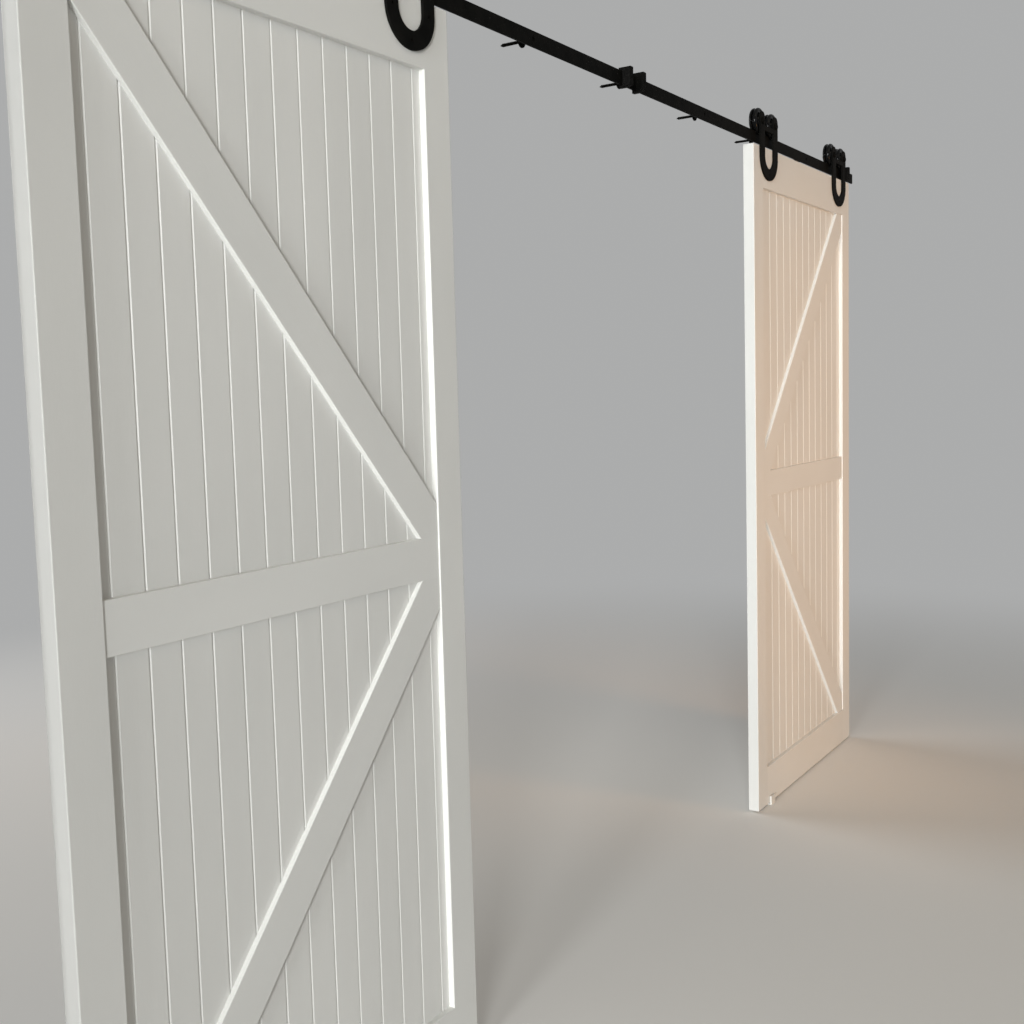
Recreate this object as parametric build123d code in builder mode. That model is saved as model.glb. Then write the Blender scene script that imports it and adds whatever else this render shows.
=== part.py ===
from build123d import *
import os
from math import floor, hypot, sqrt

# Double sliding barn door set: two mirrored K-braced leaves hung from one flat rail.
# X runs along the rail with zero at its middle, the wall plane is Y = 0 and the room is towards -Y.
# Z = 0 is the rail's mid height. All sizes are in millimetres.
os.makedirs("parts", exist_ok=True)

# Flat rail and its wall fixings
rail_height = 35.0
rail_thickness = 6.0
rail_edge_bevel = 0.6
rail_corner_radius = 2.0
wall_standoff = 28.0
first_bolt_pitch = 464.0
next_bolt_pitch = 433.0
stop_to_end_bolt = 57.0
end_bolt_inset = 52.0
spacer_base_radius = 14.0
spacer_base_depth = 4.0
spacer_neck_radius = 7.5
spacer_edge = 0.8
lag_thread_radius = 4.0
lag_neck_radius = 3.2
lag_reach = 55.0
lag_point = 7.0
lag_tip_radius = 0.8
lag_head_radius = 8.0
lag_head_sink = 0.6
lag_socket_flats = 8.0
lag_socket_depth = 2.6
bolt_clearance = 0.5

# Leaves
leaf_width = 965.0
leaf_height = 2138.0
leaf_thickness = 35.0
stile_width = 80.0
top_rail_height = 127.0
bottom_rail_height = 126.0
mid_rail_height = 84.0
mid_rail_centre = 1067.0
brace_width = 84.0
panel_thickness = 9.0
panel_recess = 13.0
planted_recess = 3.0
panel_tongue = 8.0
tongue_play = 1.0
board_pitch = 63.0
board_margin = 20.0
v_groove_width = 5.0
v_groove_depth = 2.5
arris_radius = 2.0

# Places of the leaves
leaf_drop = 10.0
floor_gap = 6.0
open_edge = 808.8
closed_half_gap = 12.0

# Horseshoe hangers and their wood screws
strap_thickness = 6.0
strap_width = 36.0
strap_outer_radius = 74.0
strap_ring_drop = 27.0
strap_overrun = 29.0
strap_edge_bevel = 0.7
bridge_height = 15.0
bridge_drop = 19.5
inner_leg_inset = 66.0
outer_leg_inset = 76.0
hanger_screw_radius = 3.0
hanger_screw_neck_radius = 2.4
hanger_screw_length = 28.0
hanger_screw_point = 4.0
hanger_screw_tip_radius = 0.6
hanger_screw_head_radius = 6.5
hanger_screw_drop = 29.0
hanger_screw_socket_flats = 5.0
hanger_screw_socket_depth = 2.6
screw_play = 0.05
countersink_angle = 90.0

# Wheels, bearings and axles
wheel_flange_radius = 41.0
wheel_tread_radius = 32.0
wheel_width = 26.0
wheel_side_gap = 1.4
wheel_groove_play = 0.4
wheel_groove_flare = 0.8
wheel_rim_round = 7.0
wheel_tip_round = 1.2
wheel_dish_depth = 3.0
wheel_dish_slope = 1.0
wheel_rim_wall = 8.0
wheel_hub_wall = 4.0
wheel_bore_lip = 3.0
roll_gap = 0.3
axle_radius = 5.0
axle_fit = 0.05
bearing_radius = 15.0
bearing_width = 9.0
bearing_fit = 0.02
bearing_race = 2.8
bearing_shield_depth = 0.5
bearing_side_gap = 0.1
sleeve_radius = 8.0
back_sleeve_overhang = 1.2
axle_washer_radius = 10.0
axle_washer_thickness = 1.6
axle_nut_flats = 16.0
axle_nut_height = 8.0
axle_nut_bevel = 1.0
axle_tail = 1.0
axle_head_radius = 10.5
axle_head_crown_radius = 7.0
axle_head_height = 5.0
axle_head_edge = 2.4
axle_socket_flats = 6.0
axle_socket_depth = 3.0

# Rail stops
stop_width = 12.0
stop_front = 24.0
stop_back = 4.4
stop_above = 9.0
stop_below = 5.5
stop_toe_rise = 3.5
stop_toe_run = 20.0
stop_nose_radius = 4.0
stop_edge_radius = 2.0
stop_slot_play = 0.15
pad_thickness = 3.0
pad_inset = 1.0
stop_contact_gap = 0.3
set_screw_radius = 3.0
set_screw_inset = 1.0
set_screw_socket_flats = 3.0
set_screw_socket_depth = 3.0

# Floor guides
guide_offset = 113.7
guide_length = 35.0
guide_wall = 7.0
guide_height = 29.0
guide_foot = 3.0
guide_clearance = 0.8
guide_edge_radius = 1.5
guide_screw_spacing = 18.0
guide_screw_radius = 2.0
guide_screw_neck_radius = 1.5
guide_screw_head_radius = 4.0
guide_screw_length = 25.0
guide_screw_point = 4.0
guide_screw_tip_radius = 0.4

# Heights and depths that follow from the sizes above
rail_back = -wall_standoff
rail_front = rail_back - rail_thickness
rail_middle = (rail_back + rail_front) / 2
rail_top = rail_height / 2
wheel_front = rail_middle - wheel_width / 2
wheel_back = rail_middle + wheel_width / 2
leaf_front = wheel_front - wheel_side_gap
leaf_back = leaf_front + leaf_thickness
strap_front = leaf_front - strap_thickness
axle_height = rail_top + roll_gap + wheel_tread_radius
leaf_top = -rail_height / 2 - leaf_drop
leaf_foot = leaf_top - leaf_height
floor_level = leaf_foot - floor_gap
leg_offset = strap_outer_radius - strap_width / 2
ring_height = leaf_top - strap_ring_drop

# Along an axle, from the strap to the end of the thread
bearing_front = rail_middle - bearing_width / 2
bearing_back = rail_middle + bearing_width / 2
back_sleeve_end = wheel_back + back_sleeve_overhang
axle_washer_back = back_sleeve_end + axle_washer_thickness
axle_nut_back = axle_washer_back + axle_nut_height
axle_end = axle_nut_back + axle_tail

# Inside the leaf's frame
opening_width = leaf_width - 2 * stile_width
opening_foot = leaf_foot + bottom_rail_height
opening_head = leaf_top - top_rail_height
mid_rail_foot = leaf_foot + mid_rail_centre - mid_rail_height / 2
mid_rail_head = mid_rail_foot + mid_rail_height
panel_front = leaf_front + panel_recess
panel_back = panel_front + panel_thickness
planted_thickness = panel_recess - planted_recess
groove_depth = panel_tongue + tongue_play

# Stops stand where a wheel's flange meets the top edge of a pad
stop_top = rail_top + stop_above
stop_foot = -rail_height / 2 - stop_below
flange_reach = sqrt(wheel_flange_radius**2 - (axle_height - stop_top + pad_inset) ** 2)
wheel_to_stop = flange_reach + stop_contact_gap
centre_pad_face = closed_half_gap + inner_leg_inset - wheel_to_stop
end_pad_face = open_edge + leaf_width - outer_leg_inset + wheel_to_stop

end_bolt = end_pad_face + pad_thickness + stop_width + stop_to_end_bolt
rail_end = end_bolt + end_bolt_inset
bolt_xs = [0.0]
for bolt_offset in (
    first_bolt_pitch,
    first_bolt_pitch + next_bolt_pitch,
    first_bolt_pitch + 2 * next_bolt_pitch,
    end_bolt,
):
    bolt_xs += [-bolt_offset, bolt_offset]
bolt_places = [(x, 0) for x in bolt_xs]

sides = {"left": -1, "right": 1}
hanger_insets = {
    "inner": inner_leg_inset + leg_offset,
    "outer": leaf_width - outer_leg_inset - leg_offset,
}
stops = {
    "left_centre_stop": (-centre_pad_face, -1),
    "right_centre_stop": (centre_pad_face, 1),
    "left_end_stop": (-end_pad_face, 1),
    "right_end_stop": (end_pad_face, -1),
}


def leaf_x(side, distance):
    """X of a point of an open leaf, from its distance to the leaf's inner edge."""
    return sides[side] * (open_edge + distance)


def wheel_places(side):
    """Axle centres (X, Z) of a leaf's wheels, from its inner edge outwards."""
    insets = [inset + step * leg_offset for inset in hanger_insets.values() for step in (-1, 1)]
    return [(leaf_x(side, inset), axle_height) for inset in sorted(insets)]


def screw_places(side):
    """Wood screws (X, Z) of a leaf's hangers: one low in each leg and one in the foot of each ring."""
    places = []
    for inset in hanger_insets.values():
        for step in (-1, 1):
            places.append((leaf_x(side, inset + step * leg_offset), leaf_top - hanger_screw_drop))
        places.append((leaf_x(side, inset), ring_height - leg_offset))
    return places


def stop_outline():
    """Corners (Y, Z) of a stop's side view, whose toe rises towards the room."""
    back = rail_back + stop_back
    front = rail_front - stop_front
    toe = [(front, stop_foot + stop_toe_rise), (front + stop_toe_run, stop_foot)]
    return toe + [(back, stop_foot), (back, stop_top), (front, stop_top)]


def along_y(places, start=0.0):
    """Planes to turn pieces on at (X, Z) places, whose local X runs from Y = start towards the wall."""
    return [Plane((x, start, z), x_dir=(0, 1, 0), z_dir=(1, 0, 0)) for x, z in places]


def add_turned(profile, planes):
    """Turns a profile of (distance along the axis, radius) points on each plane and adds the solids."""
    for plane in planes:
        with BuildSketch(plane) as section:
            Polygon(*profile, align=None)
        revolve(section.sketch, axis=Axis(plane.origin, plane.x_dir))


def tube_profile(front, back, inner, outer, bevel=0.0):
    """Half section of a tube or washer, its outer rims bevelled."""
    if bevel == 0:
        return [(front, inner), (front, outer), (back, outer), (back, inner)]
    rims = [(front, outer - bevel), (front + bevel, outer), (back - bevel, outer), (back, outer - bevel)]
    return [(front, inner), *rims, (back, inner)]


def countersunk_profile(head_radius, neck, thread, length, tip, sink=screw_play):
    """Half section of a countersunk screw, measured from the face that its head lies sink below.

    neck and thread are a radius and where it ends, and tip is the radius at the end of the point.
    """
    rim = head_radius - sink - screw_play
    return [
        (sink, 0),
        (sink, rim),
        (sink + rim - neck[0], neck[0]),
        (neck[1], neck[0]),
        (neck[1], thread[0]),
        (thread[1], thread[0]),
        (length, tip),
        (length, 0),
    ]


def drill_pilots(side):
    """Drills a leaf's hanger screw pilots into the piece being built, where they meet it."""
    with Locations([Location((x, leaf_front, z), (90, 0, 0)) for x, z in screw_places(side)]):
        Hole(hanger_screw_radius + screw_play, hanger_screw_length - strap_thickness + screw_play)


def cut_round_waste(corner, toward):
    """Cuts a rounded arris from a section: the square at the corner less its quarter circle."""
    with Locations(Vector(*corner) + Vector(*toward) * arris_radius / 2):
        Rectangle(arris_radius, arris_radius)
    with Locations(Vector(*corner) + Vector(*toward) * arris_radius):
        Circle(arris_radius, mode=Mode.SUBTRACT)


def save(piece, name):
    """Names a finished piece after its node and writes it."""
    piece.part.label = name
    export_step(piece.part, f"parts/{name}.step")


# The rail is a flat bar on edge, drilled and countersunk for each lag bolt
with BuildPart() as rail:
    with BuildSketch(Plane.XZ.offset(-rail_back)):
        RectangleRounded(2 * rail_end, rail_height, rail_corner_radius)
    extrude(amount=rail_thickness)
    chamfer(rail.edges().filter_by(Axis.X), rail_edge_bevel)
    bolt_hole = lag_thread_radius + bolt_clearance
    with Locations([Location((x, rail_front, z), (90, 0, 0)) for x, z in bolt_places]):
        CounterSinkHole(bolt_hole, lag_head_radius, rail_thickness, countersink_angle)
save(rail, "rail")

# Stepped spacers hold the rail off the wall. Their necks pass under the wheels' flanges
with BuildPart() as wall_spacers:
    spacer = [
        (rail_back, bolt_hole),
        (rail_back, spacer_neck_radius),
        (-spacer_base_depth, spacer_neck_radius),
        (-spacer_base_depth, spacer_base_radius - spacer_edge),
        (-spacer_base_depth + spacer_edge, spacer_base_radius),
        (0, spacer_base_radius),
        (0, bolt_hole),
    ]
    add_turned(spacer, along_y(bolt_places))
save(wall_spacers, "wall_spacers")

# Countersunk lag bolts run through rail and spacer, and their threads stand out behind the wall plane
with BuildPart() as lag_bolts:
    lag_bolt = countersunk_profile(
        lag_head_radius,
        (lag_neck_radius, -rail_front),
        (lag_thread_radius, lag_reach - lag_point - rail_front),
        lag_reach - rail_front,
        lag_tip_radius,
        lag_head_sink,
    )
    add_turned(lag_bolt, along_y(bolt_places, rail_front))
    with BuildSketch(Plane.XZ.offset(-rail_front)):
        with Locations(bolt_places):
            RegularPolygon(lag_socket_flats / 2, 6, major_radius=False)
    extrude(amount=-lag_socket_depth, mode=Mode.SUBTRACT)
save(lag_bolts, "lag_bolts")

# Each stop is a block that the rail runs through, held by a set screw in its nose
for name, (pad_face, facing) in stops.items():
    block_face = pad_face - facing * pad_thickness
    with BuildPart() as stop:
        with BuildSketch(Plane.YZ.offset(block_face)):
            Polygon(*stop_outline(), align=None)
            fillet(vertices().group_by(Axis.X)[0].sort_by(Axis.Y)[0], stop_nose_radius)
            fillet(vertices().group_by(Axis.Y)[-1].sort_by(Axis.X)[0], stop_edge_radius)
            slot_margin = 2 * stop_slot_play
            with Locations((rail_middle, 0)):
                Rectangle(rail_thickness + slot_margin, rail_height + slot_margin, mode=Mode.SUBTRACT)
        extrude(amount=-facing * stop_width)
        screw_x = block_face - facing * stop_width / 2
        with Locations(Location((screw_x, rail_front - stop_front, 0), (90, 0, 0))):
            Hole(set_screw_radius + screw_play, stop_front)
    save(stop, name)

# A rubber pad on the side of each stop that a wheel meets
with BuildPart() as stop_pads:
    for pad_face, facing in stops.values():
        with BuildSketch(Plane.YZ.offset(pad_face)):
            Polygon(*stop_outline(), align=None)
            offset(amount=-pad_inset, kind=Kind.INTERSECTION, mode=Mode.REPLACE)
            fillet(vertices().group_by(Axis.X)[0].sort_by(Axis.Y)[0], stop_nose_radius - pad_inset)
            slot_margin = 2 * (stop_slot_play + pad_inset)
            with Locations((rail_middle, 0)):
                Rectangle(rail_thickness + slot_margin, rail_height + slot_margin, mode=Mode.SUBTRACT)
        extrude(amount=-facing * pad_thickness)
save(stop_pads, "stop_pads")

with BuildPart() as stop_set_screws:
    screw_xs = [pad_face - facing * (pad_thickness + stop_width / 2) for pad_face, facing in stops.values()]
    screw_front = rail_front - stop_front + set_screw_inset
    with BuildSketch(Plane.XZ.offset(-rail_front)):
        with Locations([(x, 0) for x in screw_xs]):
            Circle(set_screw_radius)
    extrude(amount=rail_front - screw_front)
    with BuildSketch(Plane.XZ.offset(-screw_front)):
        with Locations([(x, 0) for x in screw_xs]):
            RegularPolygon(set_screw_socket_flats / 2, 6, major_radius=False)
    extrude(amount=-set_screw_socket_depth, mode=Mode.SUBTRACT)
save(stop_set_screws, "stop_set_screws")

# Each floor guide is a channel that the leaf's foot runs through, screwed down through its web
guide_front = leaf_front - guide_clearance
guide_back = leaf_back + guide_clearance
guide_middle = (guide_front + guide_back) / 2
guide_screws = {
    side: [(leaf_x(side, guide_offset) + step * guide_screw_spacing / 2, guide_middle) for step in (-1, 1)]
    for side in sides
}
for side in sides:
    with BuildPart() as floor_guide:
        with BuildSketch(Plane.YZ.offset(leaf_x(side, guide_offset))):
            with Locations((guide_middle, floor_level + guide_height / 2)):
                Rectangle(guide_back - guide_front + 2 * guide_wall, guide_height)
            with Locations((guide_middle, floor_level + guide_foot)):
                channel_align = (Align.CENTER, Align.MIN)
                Rectangle(guide_back - guide_front, guide_height, align=channel_align, mode=Mode.SUBTRACT)
            fillet(vertices().group_by(Axis.Y)[-1], guide_edge_radius)
        extrude(amount=guide_length / 2, both=True)
        with Locations([Location((x, y, floor_level + guide_foot)) for x, y in guide_screws[side]]):
            CounterSinkHole(
                guide_screw_radius + screw_play,
                guide_screw_head_radius,
                guide_foot,
                countersink_angle,
            )
    save(floor_guide, f"{side}_floor_guide")

with BuildPart() as floor_guide_screws:
    guide_screw = countersunk_profile(
        guide_screw_head_radius,
        (guide_screw_neck_radius, guide_foot),
        (guide_screw_radius, guide_screw_length - guide_screw_point),
        guide_screw_length,
        guide_screw_tip_radius,
    )
    web_top = floor_level + guide_foot
    for x, y in guide_screws["left"] + guide_screws["right"]:
        add_turned(guide_screw, [Plane((x, y, web_top), x_dir=(0, 0, -1), z_dir=(0, 1, 0))])
save(floor_guide_screws, "floor_guide_screws")

for side, sign in sides.items():
    leaf_middle = leaf_x(side, leaf_width / 2)
    opening_start = leaf_middle - opening_width / 2
    panel_depth = (panel_front + panel_back) / 2
    leaf_depth = (leaf_front + leaf_back) / 2

    # Stiles run the full height, grooved for the panel and the rails' stub tenons
    for place, edge_distance, inward in (("inner", 0, sign), ("outer", leaf_width, -sign)):
        outer_x = leaf_x(side, edge_distance)
        joint_x = outer_x + inward * stile_width
        with BuildPart() as stile:
            with BuildSketch(Plane.XY.offset(leaf_foot)):
                with Locations(((outer_x + joint_x) / 2, leaf_depth)):
                    Rectangle(stile_width, leaf_thickness)
            extrude(amount=leaf_height)
            outer_face = stile.faces().sort_by(Axis.X)[0 if inward > 0 else -1]
            fillet(outer_face.edges().filter_by(Axis.Z), arris_radius)
            fillet(stile.edges().filter_by(Axis.X), arris_radius)
            with BuildSketch(Plane.XY.offset(leaf_foot)):
                with Locations((joint_x - inward * groove_depth / 2, panel_depth)):
                    Rectangle(groove_depth, panel_thickness)
            extrude(amount=leaf_height, mode=Mode.SUBTRACT)
            with BuildSketch(Plane.XY.offset(opening_foot)):
                cut_round_waste((joint_x, leaf_front), (-inward, 1))
                cut_round_waste((joint_x, leaf_back), (-inward, -1))
            extrude(amount=opening_head - opening_foot, mode=Mode.SUBTRACT)
            drill_pilots(side)
        save(stile, f"{side}_{place}_stile")

    # Top and bottom rails end in stub tenons and are grooved for the panel
    for place, outer_z, joint_z in (("top", leaf_top, opening_head), ("bottom", leaf_foot, opening_foot)):
        outward = 1 if outer_z > joint_z else -1
        tenon_start = joint_z + outward * groove_depth
        tenon_end = outer_z - outward * arris_radius
        with BuildPart() as cross_rail:
            with BuildSketch(Plane.YZ.offset(opening_start)):
                with Locations((leaf_depth, (outer_z + joint_z) / 2)):
                    Rectangle(leaf_thickness, abs(outer_z - joint_z))
                fillet(vertices(), arris_radius)
                with Locations((panel_depth, joint_z + outward * groove_depth / 2)):
                    Rectangle(panel_thickness, groove_depth, mode=Mode.SUBTRACT)
            extrude(amount=opening_width)
            with BuildSketch(Plane.YZ.offset(leaf_middle)):
                with Locations((panel_depth, (tenon_start + tenon_end) / 2)):
                    Rectangle(panel_thickness, abs(tenon_end - tenon_start))
            extrude(amount=opening_width / 2 + panel_tongue, both=True)
            drill_pilots(side)
        save(cross_rail, f"{side}_{place}_rail")

    # One panel let into the frame, V-grooved on both faces like narrow boarding
    groove_count = 2 * floor((opening_width / 2 - board_margin) / board_pitch) + 1
    with BuildPart() as panel:
        with BuildSketch(Plane.XY.offset(opening_foot - panel_tongue)):
            with Locations((leaf_middle, panel_depth)):
                Rectangle(opening_width + 2 * panel_tongue, panel_thickness)
            for face, inward in ((panel_front, 1), (panel_back, -1)):
                with Locations((leaf_middle, face)):
                    with GridLocations(board_pitch, 1, groove_count, 1):
                        half_groove = v_groove_width / 2
                        groove = [(-half_groove, 0), (half_groove, 0), (0, inward * v_groove_depth)]
                        Polygon(*groove, align=None, mode=Mode.SUBTRACT)
        extrude(amount=opening_head - opening_foot + 2 * panel_tongue)
    save(panel, f"{side}_panel")

    # The mid rail and the K's two braces are planted on the panel. A brace's middle line joins two corners
    # of its field, whose edges cut its ends
    knee_x = leaf_x(side, stile_width)
    corner_x = leaf_x(side, leaf_width - stile_width)
    mid_rail_ends = [(knee_x, mid_rail_foot), (corner_x, mid_rail_foot)]
    board_outlines = [mid_rail_ends + [(corner_x, mid_rail_head), (knee_x, mid_rail_head)]]
    for knee_z, corner_z, up in ((mid_rail_head, opening_head, 1), (mid_rail_foot, opening_foot, -1)):
        field_height = up * (corner_z - knee_z)
        middle_line = hypot(opening_width, field_height)
        cut_x = sign * brace_width / 2 * middle_line / field_height
        cut_z = up * brace_width / 2 * middle_line / opening_width
        knee_end = [(knee_x + cut_x, knee_z), (knee_x, knee_z), (knee_x, knee_z + cut_z)]
        corner_end = [(corner_x - cut_x, corner_z), (corner_x, corner_z), (corner_x, corner_z - cut_z)]
        board_outlines.append(knee_end + corner_end)

    # Their arrises are eased as one, where they border open panel, and then the boards part at flush joints
    with BuildPart() as k_boards:
        with BuildSketch(Plane.XZ.offset(-panel_front)):
            for outline in board_outlines:
                Polygon(*outline, align=None)
        extrude(amount=planted_thickness)
        face_edges = k_boards.faces().sort_by(Axis.Y)[0].edges()
        inner_width = opening_width / 2 - arris_radius
        open_edges = face_edges.filter_by(lambda edge: abs(edge.center().X - leaf_middle) < inner_width)
        open_edges = open_edges.filter_by(lambda edge: opening_foot + arris_radius < edge.center().Z)
        open_edges = open_edges.filter_by(lambda edge: edge.center().Z < opening_head - arris_radius)
        fillet(open_edges, arris_radius)
    board_cuts = {
        "upper_brace": [(mid_rail_head, Keep.TOP)],
        "mid_rail": [(mid_rail_head, Keep.BOTTOM), (mid_rail_foot, Keep.TOP)],
        "lower_brace": [(mid_rail_foot, Keep.BOTTOM)],
    }
    for name, cuts in board_cuts.items():
        with BuildPart() as board:
            add(k_boards.part)
            for height, kept in cuts:
                split(bisect_by=Plane.XY.offset(height), keep=kept)
        save(board, f"{side}_{name}")

    # Each horseshoe hanger is cut from plate: half a ring on the leaf, two legs and a bridge over the rail
    for place, inset in hanger_insets.items():
        hanger_x = leaf_x(side, inset)
        leg_end = axle_height + strap_overrun - strap_width / 2
        with BuildPart() as hanger:
            with BuildSketch(Plane.XZ.offset(-leaf_front)):
                with Locations((hanger_x, ring_height)):
                    Circle(strap_outer_radius)
                    Circle(strap_outer_radius - strap_width, mode=Mode.SUBTRACT)
                    Rectangle(
                        2 * strap_outer_radius,
                        strap_outer_radius,
                        align=(Align.CENTER, Align.MIN),
                        mode=Mode.SUBTRACT,
                    )
                for step in (-1, 1):
                    with Locations((hanger_x + step * leg_offset, ring_height)):
                        Rectangle(strap_width, leg_end - ring_height, align=(Align.CENTER, Align.MIN))
                    with Locations((hanger_x + step * leg_offset, leg_end)):
                        Circle(strap_width / 2)
                with Locations((hanger_x, axle_height - bridge_drop)):
                    Rectangle(2 * leg_offset, bridge_height)
            extrude(amount=strap_thickness)
            chamfer(hanger.faces().sort_by(Axis.Y)[0].edges(), strap_edge_bevel)
            axles = [Location((x, strap_front, z), (90, 0, 0)) for x, z in wheel_places(side)]
            with Locations(axles):
                Hole(axle_radius + axle_fit, strap_thickness)
            with Locations([Location((x, strap_front, z), (90, 0, 0)) for x, z in screw_places(side)]):
                CounterSinkHole(
                    hanger_screw_radius + screw_play,
                    hanger_screw_head_radius,
                    strap_thickness,
                    countersink_angle,
                )
        save(hanger, f"{side}_{place}_hanger")

    # Countersunk socket screws hold both hangers to the leaf
    with BuildPart() as hanger_screws:
        hanger_screw = countersunk_profile(
            hanger_screw_head_radius,
            (hanger_screw_neck_radius, strap_thickness),
            (hanger_screw_radius, hanger_screw_length - hanger_screw_point),
            hanger_screw_length,
            hanger_screw_tip_radius,
        )
        add_turned(hanger_screw, along_y(screw_places(side), strap_front))
        with BuildSketch(Plane.XZ.offset(-strap_front)):
            with Locations(screw_places(side)):
                RegularPolygon(hanger_screw_socket_flats / 2, 6, major_radius=False)
        extrude(amount=-hanger_screw_socket_depth, mode=Mode.SUBTRACT)
    save(hanger_screws, f"{side}_hanger_screws")

    # Button-headed axle bolts, each clamping two sleeves, a washer and a nut against the strap
    axle_head_front = strap_front - axle_head_height
    with BuildPart() as axle_bolts:
        bolt_profile = [
            (axle_head_front, 0),
            (axle_head_front, axle_head_crown_radius),
            (axle_head_front + axle_head_edge, axle_head_radius),
            (strap_front, axle_head_radius),
            (strap_front, axle_radius),
            (axle_end, axle_radius),
            (axle_end, 0),
        ]
        axle_planes = along_y(wheel_places(side))
        add_turned(bolt_profile, axle_planes)
        with BuildSketch(Plane.XZ.offset(-axle_head_front)):
            with Locations(wheel_places(side)):
                RegularPolygon(axle_socket_flats / 2, 6, major_radius=False)
        extrude(amount=-axle_socket_depth, mode=Mode.SUBTRACT)
    save(axle_bolts, f"{side}_axle_bolts")

    with BuildPart() as axle_sleeves:
        bore = axle_radius + axle_fit
        front_sleeve_end = bearing_front - bearing_side_gap
        back_sleeve_start = bearing_back + bearing_side_gap
        add_turned(tube_profile(leaf_front, front_sleeve_end, bore, sleeve_radius), axle_planes)
        add_turned(tube_profile(back_sleeve_start, back_sleeve_end, bore, sleeve_radius), axle_planes)
    save(axle_sleeves, f"{side}_axle_sleeves")

    with BuildPart() as axle_washers:
        add_turned(tube_profile(back_sleeve_end, axle_washer_back, bore, axle_washer_radius), axle_planes)
    save(axle_washers, f"{side}_axle_washers")

    with BuildPart() as axle_nuts:
        with BuildSketch(Plane.XZ.offset(-axle_nut_back)):
            with Locations(wheel_places(side)):
                RegularPolygon(axle_nut_flats / 2, 6, major_radius=False)
        extrude(amount=axle_nut_height)
        chamfer(axle_nuts.faces().group_by(Axis.Y)[-1].edges(), axle_nut_bevel)
        with BuildSketch(Plane.XZ.offset(-axle_nut_back)):
            with Locations(wheel_places(side)):
                Circle(bore)
        extrude(amount=axle_nut_height, mode=Mode.SUBTRACT)
    save(axle_nuts, f"{side}_axle_nuts")

    # Each bearing's faces are recessed between its inner and outer race
    shield_front = bearing_front + bearing_shield_depth
    shield_back = bearing_back - bearing_shield_depth
    inner_race = bore + bearing_race
    outer_race = bearing_radius - bearing_race
    bearing_profile = [
        (bearing_front, bore),
        (bearing_front, inner_race),
        (shield_front, inner_race),
        (shield_front, outer_race),
        (bearing_front, outer_race),
        (bearing_front, bearing_radius),
        (bearing_back, bearing_radius),
        (bearing_back, outer_race),
        (shield_back, outer_race),
        (shield_back, inner_race),
        (bearing_back, inner_race),
        (bearing_back, bore),
    ]

    # Grooved wheels run on the rail's top edge, each on a ball bearing pressed in against a lip
    groove_foot = rail_thickness / 2 + wheel_groove_play
    groove_mouth = groove_foot + wheel_groove_flare
    rim_radius = wheel_flange_radius - wheel_rim_wall
    hub_radius = bearing_radius + wheel_hub_wall
    for number, axle_plane in enumerate(axle_planes, 1):
        with BuildPart() as wheel:
            with BuildSketch(axle_plane):
                with BuildLine():
                    Polyline(
                        (wheel_front, bearing_radius - wheel_bore_lip),
                        (wheel_front, hub_radius),
                        (wheel_front + wheel_dish_depth, hub_radius + wheel_dish_slope),
                        (wheel_front + wheel_dish_depth, rim_radius - wheel_dish_slope),
                        (wheel_front, rim_radius),
                        (wheel_front, wheel_flange_radius),
                        (rail_middle - groove_mouth, wheel_flange_radius),
                        (rail_middle - groove_foot, wheel_tread_radius),
                        (rail_middle + groove_foot, wheel_tread_radius),
                        (rail_middle + groove_mouth, wheel_flange_radius),
                        (wheel_back, wheel_flange_radius),
                        (wheel_back, rim_radius),
                        (wheel_back - wheel_dish_depth, rim_radius - wheel_dish_slope),
                        (wheel_back - wheel_dish_depth, hub_radius + wheel_dish_slope),
                        (wheel_back, hub_radius),
                        (wheel_back, bearing_radius + bearing_fit),
                        (bearing_front, bearing_radius + bearing_fit),
                        (bearing_front, bearing_radius - wheel_bore_lip),
                        close=True,
                    )
                make_face()
                rims = vertices().group_by(Axis.Y)[-1].sort_by(Axis.X)
                fillet([rims[0], rims[-1]], wheel_rim_round)
                fillet([rims[1], rims[2]], wheel_tip_round)
            revolve(axis=Axis(axle_plane.origin, axle_plane.x_dir))
        save(wheel, f"{side}_wheel_{number}")

        with BuildPart() as bearing:
            add_turned(bearing_profile, [axle_plane])
        save(bearing, f"{side}_bearing_{number}")
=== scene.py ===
# %% [markdown]
# # A pair of barn doors on a flat rail
#
# Two white, K-braced leaves hang on black horseshoe hangers, whose wheels run on top of a flat
# steel bar. The timber frames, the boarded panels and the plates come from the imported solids.
# What is made here is what a solid modeller leaves plain: the moulded wheels, the bearings, every
# bolt, nut and screw with its thread, and all the finishes.

# %% Load the frame
from math import cos, pi, radians, sin

import bpy
import numpy as np
from mathutils import Matrix, Vector


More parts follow.
